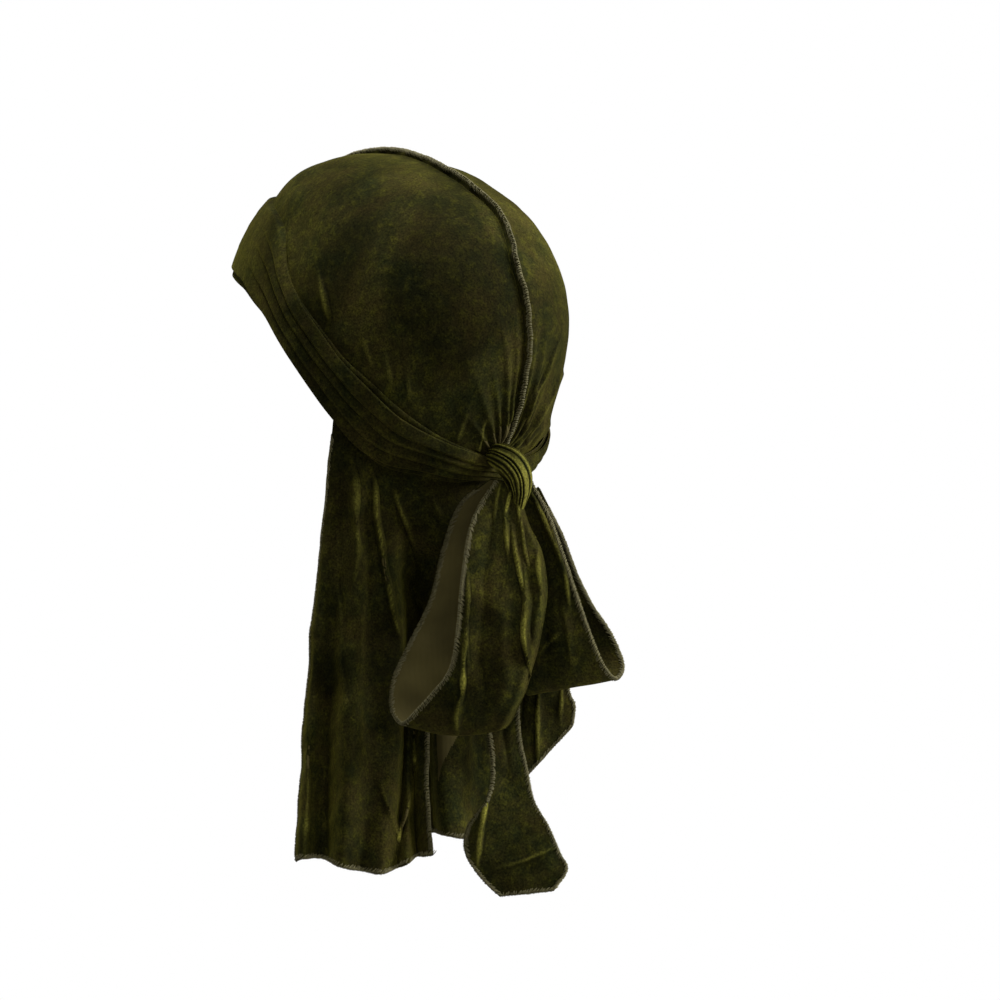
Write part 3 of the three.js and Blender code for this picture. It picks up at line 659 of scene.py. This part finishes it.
seam_share = np.linspace(0.0, 1.0, SEAM_STEPS)
direction = seam_direction(seam_share, 0)
fin_foot = dome_point(direction, np.full(SEAM_STEPS, SEAM_FIN["foot"]))
fin_middle = dome_point(direction, np.zeros(SEAM_STEPS))
fin_up = dome_point(direction, np.full(SEAM_STEPS, SEAM_FIN["top"])) - fin_foot
fin_up /= np.linalg.norm(fin_up, axis=-1, keepdims=True)
fin_side = np.cross(np.gradient(fin_foot, axis=0), fin_up)
fin_side /= np.linalg.norm(fin_side, axis=-1, keepdims=True)
waver = sum(row["depth"] * np.sin(seam_share * row["pace"] + row["start"]) for row in SEAM_WAVER)
other_side = [{"height": row["height"], "left": -row["left"]} for row in reversed(ROLL_SIDE)]
roll_rows = []
for row in ROLL_SIDE + ROLL_CREST + other_side:
    sway = waver * max(row["height"], 0) / SEAM_FIN["height"]
    roll_rows.append(fin_middle + fin_up * row["height"] + fin_side * (row["left"] + sway)[:, None])
roll = np.stack(roll_rows, 1)
seam_roll = closed_strip("centre_seam_roll", roll, velvet, np.zeros(roll.shape[:2]))
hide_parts("centre_seam")
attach(seam_roll, "root")
stitch_line = fin_middle + fin_up * SEAM_FIN["stitches"] + fin_side * waver[:, None]
seam_stitches = overlock(
    "centre_seam_stitches", stitch_line, -fin_up, fin_side,
    reach=2.0, pitch=0.95, radius=0.3, lean=1.5, half=1.1,
)

# Wrapped straps
# The two long straps go round the crown, across its front and down to the tie at the back. The outer
# turn lies in three flat pleats, and the turn under it shows as a thin line above and below.
LAYER_GAP = 0.8
UNDER_LAYER = LAYER_GAP + CLOTH / 2
OVER_LAYER = UNDER_LAYER + CLOTH + LAYER_GAP
UNDER_CELLS = (18, 420)
OVER_CELLS = (72, 480)
FRONT_CLOSER = {"under": 0.55, "over": 1.2, "turn": (62, 100), "calm": 0.8}
TOP_TUCK = {"depth": 2.2, "across": 0.06, "turn": (62, 84)}
PLEATS_GROW = {"least": 0.1, "turn": (45, 85)}
STRETCH_LINES = {"depth": 0.1, "across": 27, "slant": 0.05}
WRAP_WAVE = {"size": 25, "depth": 0.25, "seed": 8}
PLEATS = table(
    "across proud",
    (0, 0),
    (0.14, 0.9),
    (0.25, 1.6),
    (0.28, 0.2),
    (0.46, 1.8),
    (0.49, 0.3),
    (0.62, 1.0),
    (0.73, 1.7),
    (0.76, 0.2),
    (1, 0.9),
)


def wrap_shares(across, along):
    u, v = np.meshgrid(np.linspace(0, 1, across), np.linspace(0, 1, along))
    return u, mix(-180, 180, v)


def wrap_grid(top, bottom, layer, u, turn):
    rise = mix(wrap_edge(top, turn), wrap_edge(bottom, turn), u)
    return dome_point(dome_direction(turn, rise), layer)


def front_share(turn):
    return 1 - smoothstep(np.abs(turn), *FRONT_CLOSER["turn"])


def pleated(u, turn):
    """The outer turn's layer: pleats that grow from the front, its top edge tucked in there."""
    grown = mix(PLEATS_GROW["least"], 1, smoothstep(np.abs(turn), *PLEATS_GROW["turn"]))
    tuck = 1 - smoothstep(u, 0, TOP_TUCK["across"])
    tuck *= 1 - smoothstep(np.abs(turn), *TOP_TUCK["turn"])
    layer = OVER_LAYER - FRONT_CLOSER["over"] * front_share(turn) - TOP_TUCK["depth"] * tuck
    return layer + grown * np.interp(u, [row["across"] for row in PLEATS], [row["proud"] for row in PLEATS])


u, turn = wrap_shares(*UNDER_CELLS)
under_layer = UNDER_LAYER - FRONT_CLOSER["under"] * front_share(turn)
under_points = wrap_grid("under_top", "under_bottom", under_layer, u, turn)
wrap_under = cloth_mesh("velvet_wrap_under", under_points, 1, velvet, backing)
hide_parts("wrap_under")
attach(wrap_under, "root")

u, turn = wrap_shares(*OVER_CELLS)
over_points = wrap_grid("top", "bottom", pleated(u, turn), u, turn)
lines = STRETCH_LINES["depth"] * np.sin(u * STRETCH_LINES["across"] + turn * STRETCH_LINES["slant"])
lines *= np.sin(u * math.pi)
unevenness = (lines + rumple(over_points, **WRAP_WAVE)) * (1 - FRONT_CLOSER["calm"] * front_share(turn))
over_points += grid_normals(over_points) * unevenness[..., None]
wrap_over = cloth_mesh("velvet_wrap_over", over_points, 1, velvet, backing)
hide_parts("wrap_over")
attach(wrap_over, "root")

# Knot
# The straps cross and tuck through each other under the gathered crown. The tie is a short bundle
# of tight folds that comes out of the crown, arches over to the right and runs down into the loops.
KNOT_BUNDLE = table(
    "across up out wide deep",
    (-7, 8, -6, 4.5, 4),
    (-1, 5.5, 4, 7, 6),
    (5, 0.5, 9, 8.4, 8),
    (8.6, -6, 10.5, 7.8, 8.5),
    (9.6, -13, 10.5, 6.2, 8),
    (9.3, -18, 10, 4.6, 6.5),
    (8.6, -23, 8.5, 3.4, 4),
)
KNOT_CELLS = (150, 180)
KNOT_FOLDS = 15
FOLD_CLEFT = 0.2
CLEFT_PINCH = 0.45
KNOT_TWIST = table("depth round along start", (0.5, 0, 2, 0), (0.2, 3, 0, 1), (0.07, 8, 3, 0))
KNOT_CLEFT_WAVE = {"depth": 0.35, "round": 5, "along": 2, "start": 0}
KNOT_SWELL_WAVE = {"depth": 0.05, "round": 3, "along": 5, "start": 0}
KNOT_WAVE = {"size": 12, "depth": 0.35, "seed": 51}
# The knot's ridge values: they give its fold tops the velvet's painted highlight and its clefts painted
# shade.
KNOT_RIDGE = {"middle": 0.62, "strength": 1.15}


def share_of(rows, name, share):
    """The same curve, read at a share of the way through the rows."""
    numbered = [{"place": place, "value": row[name]} for place, row in enumerate(rows)]
    return column(numbered, "place", "value", share * (len(rows) - 1))


def bow_point(across, up, out):
    """The bow's own frame: across to the rear right, out to the rear left, and up, from the knot."""
    x = KNOT[0] + across * math.cos(BOW_TURN) + out * OUT[0]
    y = KNOT[1] + across * math.sin(BOW_TURN) + out * OUT[1]
    return np.stack([x, y, KNOT[2] + up + 0 * x], -1)


def knot_wave(row, t, angle):
    return row["depth"] * np.sin(row["round"] * angle + row["along"] * t + row["start"])


round_once = np.linspace(0, 2 * math.pi, KNOT_CELLS[1] + 1)[:-1]
t, angle = np.meshgrid(np.linspace(0, 1, KNOT_CELLS[0]), round_once, indexing="ij")
middle = bow_point(*(share_of(KNOT_BUNDLE, name, t) for name in ("across", "up", "out")))
way = np.gradient(middle, axis=0)
way /= np.linalg.norm(way, axis=-1, keepdims=True)
bundle_side = np.cross(OUT, way)
bundle_side /= np.linalg.norm(bundle_side, axis=-1, keepdims=True)
bundle_out = np.cross(way, bundle_side)
uneven_angle = sum((knot_wave(row, t, angle) for row in KNOT_TWIST), angle)
folds = np.abs(np.cos(uneven_angle * KNOT_FOLDS / 2))
cleft = FOLD_CLEFT * (1 + knot_wave(KNOT_CLEFT_WAVE, t, angle))
swell = 1 + cleft * (folds**CLEFT_PINCH - 1) + knot_wave(KNOT_SWELL_WAVE, t, angle)
knot_points = middle + bundle_side * (share_of(KNOT_BUNDLE, "wide", t) * np.cos(angle) * swell)[..., None]
knot_points += bundle_out * (share_of(KNOT_BUNDLE, "deep", t) * np.sin(angle) * swell)[..., None]
knot_points += bundle_out * rumple(knot_points, **KNOT_WAVE)[..., None]
# Painted highlight on the knot's fold tops and painted shade in its clefts come from these values.
knot_ridges = (folds - KNOT_RIDGE["middle"]) * KNOT_RIDGE["strength"]
knot = closed_strip("velvet_knot", knot_points, velvet, knot_ridges)
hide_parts("knot")
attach(knot, "root")

# Loops of the bow
# Each loop is one strap, folded over on itself, and the long edge round its open side is bound by
# overlock thread. Inside, the near one shows the paler wrong side, and the far one, whose strap is
# turned over, its pile.
LOOP_LEFT = table(
    "a1 u1 o1 a2 u2 o2",
    (-3, -8, 11, 9, -11, 10),
    (-11, -20, 16, 13, -28, 14),
    (-17, -35, 21, 21, -45, 16),
    (-21, -62, 26, 24, -64, 19),
    (-23, -85, 29, 22, -83, 21),
    (-27, -107, 28, 17, -105, 20),
    (-38, -122, 23, 12, -121, 18),
    (-48, -133, 17, 6, -134, 15),
    (-54, -137, 11, 2, -139, 9),
    (-59, -129, 6, 4, -128, 4),
    (-58, -114, 4, 8, -112, 1),
    (-50, -96, 3, 11, -91, 0),
    (-38, -71, 3, 12, -64, 0),
    (-31, -43, 3, 11, -39, 0),
    (-22, -20, 4, 8, -21, 2),
    (-6, -7, 6, 7, -9, 4),
)
LOOP_LEFT_FOLDS = table(
    "a1 u1 a2 u2 width depth steep",
    (-0.5, -6, -4, -30, 1.8, 1.8, -1),
    (5.4, -8, 1.6, -28, 1.7, 2.4, -1),
    (1.4, -21, 3.6, -50, 2, 2.2, -1),
    (7.4, -12, 9.4, -31, 1.6, 2, 1),
    (9, -24, 15, -52, 1.8, 2.4, 1),
    (11, -14, 14.4, -33, 1.6, 2, 1),
    (13.6, -27, 21, -46, 1.8, 2.4, 1),
    (20, -36, 21, -82, 2, 2.4, 1),
    (6, -34, 12, -74, 2.4, 3.2, -1),
    (12, -58, 13, -116, 2.6, 4, -1),
    (-18, -52, -17, -104, 1.8, 2, 1),
    (-17, -88, -24, -132, 2.6, 3.6, 1),
    (-25, -118, -22, -144, 4, 4, 0),
    (-3, -16, -9, -60, 5, -2.2, 0),
    (-9, -56, -10, -124, 7, -2.6, 0),
    (2, -70, 0, -128, 8, 2.2, 0),
    (16, -54, 17, -100, 4, -2.2, 0),
)
LOOP_RIGHT = table(
    "a1 u1 o1 a2 u2 o2",
    (8, -14, 2, 16, -8, 0),
    (8, -33, 4, 25, -25, 1),
    (9, -56, 4, 33, -47, 3),
    (9, -79, 3, 39, -65, 4),
    (11, -100, 0, 48, -91, 3),
    (12, -116, -4, 55, -107, 0),
    (14, -123, -12, 62, -114, -8),
    (17, -119, -21, 66, -107, -19),
    (18, -101, -25, 60, -91, -23),
    (18, -79, -25, 49, -74, -22),
    (17, -56, -22, 41, -58, -19),
    (16, -33, -16, 33, -37, -14),
    (12, -18, -9, 20, -11, -8),
)
LOOP_RIGHT_FOLDS = table(
    "a1 u1 a2 u2 width depth steep",
    (15, -10, 28, -43, 2.4, 3.4, 1),
    (26, -33, 36, -74, 2.8, 3.4, 1),
    (20, -30, 27, -118, 6, -3.4, 0),
    (32, -66, 40, -112, 5, 1.6, -1),
    (20, -100, 32, -88, 3, 1.4, -1),
)
SAG = {"at": 0.55, "width": 0.16}
ROLLED_FROM = 0.88
FAR_LAYER = {"turn": 1.5, "from_to": (0.46, 0.6)}
LOOP_END = {"fade": 0.5, "from_to": (0.85, 1)}
LOOP_WAVES = table("size depth seed", (17, 0.25, 21))


def bell(distance, width):
    return np.exp(-((distance / width) ** 2))


def strap_grid(rows, folds, fold_share, across, along, sag=0, rolled=0):
    """A strap between the two edges of a table, its folds standing out towards the rear left. Its
    second edge may be rolled back."""
    u, v = np.meshgrid(np.linspace(0, 1, across), np.linspace(0, 1, along))
    sagging = sag * 4 * u * (1 - u) * bell(v - SAG["at"], SAG["width"])
    points = bow_point(
        mix(share_of(rows, "a1", v), share_of(rows, "a2", v), u),
        mix(share_of(rows, "u1", v), share_of(rows, "u2", v), u) - sagging,
        mix(share_of(rows, "o1", v), share_of(rows, "o2", v), u),
    )
    relief = fold_relief(points, folds) - rolled * smoothstep(u, ROLLED_FROM, 1) ** 2
    return points + OUT * (relief * fold_share(v))[..., None]


def near_layer(v):
    """Folds stand out on the loop's near layer, and half as far the other way on its far one."""
    far = FAR_LAYER["turn"] * smoothstep(v, *FAR_LAYER["from_to"])
    return 1 - far + LOOP_END["fade"] * smoothstep(v, *LOOP_END["from_to"])


def bound_edge(name, points, edge, normals, start=0.03, end=0.97):
    """Overlock along one long edge of a strap: edge is the grid's first or last column."""
    rows = slice(int(start * len(points)), int(end * len(points)))
    inner = 1 if edge == 0 else -2
    line = points[rows, edge]
    inward = points[rows, inner] - line
    return overlock(name, line, inward, normals[rows, edge])


def bound_hem(name, points, normals):
    """Overlock along the grid's last row."""
    return overlock(name, points[-1, 1:-1], points[-2, 1:-1] - points[-1, 1:-1], normals[-1, 1:-1])


for node, rows, folds, sag, rolled, cells, flat, edge, inside in (
    ("loop_left", LOOP_LEFT, LOOP_LEFT_FOLDS, 5, 6, (120, 320), (0.05, 0.28), 0, backing),
    ("loop_right", LOOP_RIGHT, LOOP_RIGHT_FOLDS, 0, 0, (100, 280), (0.04, 0.24), -1, velvet),
):
    points = waved(strap_grid(rows, folds, near_layer, *cells, sag, rolled), LOOP_WAVES)
    loop = cloth_mesh("velvet_" + node, points, -1, velvet, inside)
    thread = bound_edge(node + "_overlock", points, edge, grid_normals(points), start=0)
    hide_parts(node)
    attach(loop, "root")

# Free ends
# The straps' ends hang from the knot behind the loops. The near one spreads into a limp paddle, and
# the far one is cut off at a slant.
TAIL_LEFT = table(
    "a1 u1 o1 a2 u2 o2",
    (-3, -12, -3, 5, -13, -5),
    (-6, -47, -9, 8, -47, -10),
    (-8, -88, -11, 9, -88, -12),
    (-10, -122, -10, 9, -124, -12),
    (-7, -145, -7, 10, -145, -11),
    (-5, -163, -3, 13, -160, -9),
    (-8, -179, 0, 17, -179, -7),
    (-18, -193, 1, 25, -193, -4),
    (-19, -207, 1, 31, -207, -2),
    (-11, -220, 0, 35, -216, -1),
    (-1, -230, 0, 28, -227, 0),
)
TAIL_LEFT_FOLDS = table(
    "a1 u1 a2 u2 width depth steep",
    (-7, -160, -12, -212, 4, 4, 1),
    (28, -193, 6, -205, 6, 1.3, 0),
    (32, -203, -4, -217, 7, 2.0, 1),
    (31, -214, 8, -227, 6, 1.2, 0),
    (1, -90, 2, -165, 5, -2.4, 0),
)
TAIL_RIGHT = table(
    "a1 u1 o1 a2 u2 o2",
    (1, -12, -5, 9, -13, -6),
    (3, -26, -16, 14, -25, -20),
    (4, -52, -24, 21, -50, -32),
    (5, -93, -27, 29, -89, -37),
    (5, -129, -27, 37, -122, -37),
    (5, -157, -26, 40, -130, -36),
    (6, -176, -26, 39, -141, -35),
)
TAIL_RIGHT_FOLDS = table(
    "a1 u1 a2 u2 width depth steep",
    (21, -112, 19, -162, 2.8, 2.4, -1),
    (33, -114, 34, -140, 3, 1.6, 1),
    (12, -112, 10, -165, 4, -1.8, 0),
)
TAIL_WAVES = table("size depth seed", (15, 0.3, 31))


def all_along(v):
    return 1 + 0 * v


def bound_round(node, points, start):
    """Overlock along both long edges of a hanging piece, from where they come out, and its hem."""
    normals = grid_normals(points)
    return [
        bound_edge(node + "_overlock_1", points, 0, normals, start, 0.99),
        bound_edge(node + "_overlock_2", points, -1, normals, start, 0.99),
        bound_hem(node + "_overlock_hem", points, normals),
    ]


for node, rows, folds, cells, flat, area in (
    ("tail_left", TAIL_LEFT, TAIL_LEFT_FOLDS, (80, 260), (0.05, 0.22), 0.0055),
    ("tail_right", TAIL_RIGHT, TAIL_RIGHT_FOLDS, (70, 200), (0.04, 0.16), 0.004),
):
    points = waved(strap_grid(rows, folds, all_along, *cells), TAIL_WAVES)
    tail = cloth_mesh("velvet_" + node, points, -1, velvet, backing)
    threads = bound_round(node, points, 0.1)
    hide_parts(node)
    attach(tail, "root")

# Back flap
# The crown's tail of loose cloth comes out from under the straps and hangs open in long folds. It is
# parted below the knot, where both inner edges show with their thread, and a strip beside the right
# half's inner edge is turned back, wrong side out.
FLAP_LEFT = table(
    "turn mid_across mid_out hem_across hem_out hem_up",
    (119, -102, -2, -110, 0, -211),
    (122, -98, 4, -106, 7, -209),
    (126, -90, -2, -97, -4, -210),
    (131, -79, 8, -86, 11, -213),
    (136, -71, -2, -75, 2, -216),
    (142, -57, -9, -64, 8, -217),
    (150, -52, -23, -56, -4, -215),
    (158, -48, -25, -50, 2, -212),
    (165, -44, -27, -46, -14, -210),
    (171, -39, -22, -42, -6, -209),
    (177, -34, -20, -37, -2, -208),
)
FLAP_RIGHT = table(
    "turn mid_across mid_out hem_across hem_out hem_up",
    (171, -44, -38, -45, -34, -200),
    (175, -36, -39, -37, -36, -199),
    (178, -31, -25, -30.5, -17, -199),
    (185, -19, -29, -21, -22, -201),
    (190, -13, -42, -13, -40, -203),
    (198, -2, -54, -4, -48, -205),
    (208, 2, -72, -3, -66, -207),
    (219, 12, -86, 9, -80, -209),
    (230, 3, -100, 2, -98, -210),
    (241, -3, -114, -7, -114, -211),
)
FLAP_MID_UP = -93
FLAP_MID_SHARE = 0.42
FLAP_UNDER = 0.12
FLAP_PAST_WRAP = 1.2
FLAP_PAST_HEM = 1
FLAP_FOLDS_GROW = 0.1
FLAP_WAVES = table("size depth seed", (30, 0.5, 41), (11, 0.15, 42))
FLAP_FOLDS = table(
    "a1 u1 a2 u2 width depth steep",
    (-79, 12, -77, -62, 3.2, 3.4, 1),
    (-71, 10, -64, -44, 2.8, 5, 1),
    (-66, -26, -53, -112, 3.4, 6.5, 1),
    (-88, -30, -84, -150, 9, 3, 1),
    (-60, -4, -46, -48, 5, 4, -1),
    (-50, -26, -42, -125, 12, -12, 0),
    (-39, -6, -33, -26, 4, 2.4, 1),
    (-103, -140, -104, -222, 3, 2, 1),
    (-93, -130, -92, -218, 6, -5, 0),
    (-49, -122, -46, -166, 3.4, 4.4, 1),
    (-46, -156, -58, -214, 3.4, 4.4, 1),
    (-66, -168, -50, -214, 5, 2.5, -1),
    (-76, -110, -78, -205, 12, 3, 0),
)
TURNED_EDGE = {"start": 0.22, "wide": 0.12, "narrow": 0.0, "narrowing": (0.66, 0.86)}
FLAP_CELLS = (230, 170)


def flap_grid(rows, layer, across, along):
    """From under the straps each line of cloth runs in one bow through its middle to the hem."""
    u, v = np.meshgrid(np.linspace(0, 1, across), np.linspace(0, 1, along))
    turn = share_of(rows, "turn", u)
    low = np.minimum(wrap_edge("bottom", turn), wrap_edge("under_bottom", turn)) - FLAP_PAST_WRAP
    high = hem_rise(turn) - FLAP_PAST_HEM
    depth = CROWN_LAYER + layer + 0 * v
    tucked = dome_point(dome_direction(turn, mix(high, low, np.clip(v / FLAP_UNDER, 0, 1))), depth)
    start = dome_point(dome_direction(turn, low), depth)
    share = np.clip((v - FLAP_UNDER) / (1 - FLAP_UNDER), 0, 1)[..., None]
    middle = FLAP_MID_SHARE
    mid = bow_point(share_of(rows, "mid_across", u), FLAP_MID_UP, share_of(rows, "mid_out", u))
    hem = bow_point(*(share_of(rows, name, u) for name in ("hem_across", "hem_up", "hem_out")))
    hanging = start * (share - middle) * (share - 1) / middle
    hanging += mid * share * (share - 1) / (middle * (middle - 1))
    hanging += hem * share * (share - middle) / (1 - middle)
    free = smoothstep(v, FLAP_UNDER, FLAP_UNDER + FLAP_FOLDS_GROW)
    points = np.where(v[..., None] <= FLAP_UNDER, tucked, hanging)
    return points + OUT * (fold_relief(points, FLAP_FOLDS) * free)[..., None]


def turned_cells(across, along):
    u, v = np.meshgrid(np.arange(across - 1) / across, np.arange(along - 1) / along)
    narrowing = smoothstep(v, *TURNED_EDGE["narrowing"])
    width = mix(TURNED_EDGE["wide"], TURNED_EDGE["narrow"], narrowing)
    return (u > TURNED_EDGE["start"]) & (u < TURNED_EDGE["start"] + width)


for node, rows, area, turned, layer in (
    ("flap_left", FLAP_LEFT, 0.028, None, 0),
    ("flap_right", FLAP_RIGHT, 0.03, turned_cells(*FLAP_CELLS), -2.4),
):
    points = waved(flap_grid(rows, layer, *FLAP_CELLS), FLAP_WAVES)
    flap = cloth_mesh("velvet_" + node, points, -1, velvet, backing, turned=turned)
    threads = bound_round(node, points, 0.15)
    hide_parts(node)
    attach(flap, "root")

# Studio
# A pale round floor of matt paper well below the hanging ends, since the durag is held up as it is
# worn, a white surround that gives only a weak even light, and large soft lights over the crown and
# at its right, so that the side towards the camera stays dark. The floor's sizes are in metres.
FLOOR = {"corners": 96, "radius": 0.9, "height": -0.62}
bpy.ops.object.select_all(action="DESELECT")
bpy.ops.mesh.primitive_circle_add(
    vertices=FLOOR["corners"], radius=FLOOR["radius"], fill_type="NGON", location=(0, 0, FLOOR["height"]),
)
floor = bpy.context.object
floor.name = "floor"
floor_material, floor_tree, _ = new_material("pale_matt_paper")
finish_material(floor_tree, {"Base Color": colour("#b4b4b0"), "Roughness": 0.9})
floor.data.materials.append(floor_material)

SURROUND_LIGHT = 0.23
WHITE = colour("#ffffff")
world = bpy.data.worlds.new("studio")
bpy.context.scene.world = world
world.use_nodes = True
surround_tree = world.node_tree
surround_tree.nodes.clear()
seen = add_node(surround_tree, "ShaderNodeLightPath", {}).outputs["Is Camera Ray"]
weak = add_node(surround_tree, "ShaderNodeBackground", {"Color": WHITE, "Strength": SURROUND_LIGHT})
white = add_node(surround_tree, "ShaderNodeBackground", {"Color": WHITE, "Strength": 1.0})
surround = add_node(surround_tree, "ShaderNodeMixShader", {0: seen, 1: weak.outputs[0], 2: white.outputs[0]})
add_node(surround_tree, "ShaderNodeOutputWorld", {"Surface": surround.outputs[0]})

# Places are to the view's right, up and back towards the camera from the point aimed at, in metres.
LIGHTS = table(
    "name right up back size power",
    ("top_light", -0.15, 1.3, 0.12, 0.6, 27),
    ("right_light", 1.25, 0.45, 0.15, 0.6, 32),
    ("front_light", 0.5, 0.9, 1.3, 0.7, 4),
)
AIM = Vector((0, 0.03, -0.15))
for row in LIGHTS:
    data = bpy.data.lights.new(row["name"], "AREA")
    data.size = row["size"]
    data.energy = row["power"]
    light = bpy.data.objects.new(row["name"], data)
    light.location = AIM + view_right * row["right"] + view_up * row["up"] + view_back * row["back"]
    light.rotation_mode = "QUATERNION"
    light.rotation_quaternion = (AIM - light.location).to_track_quat("-Z", "Y")
    bpy.context.scene.collection.objects.link(light)
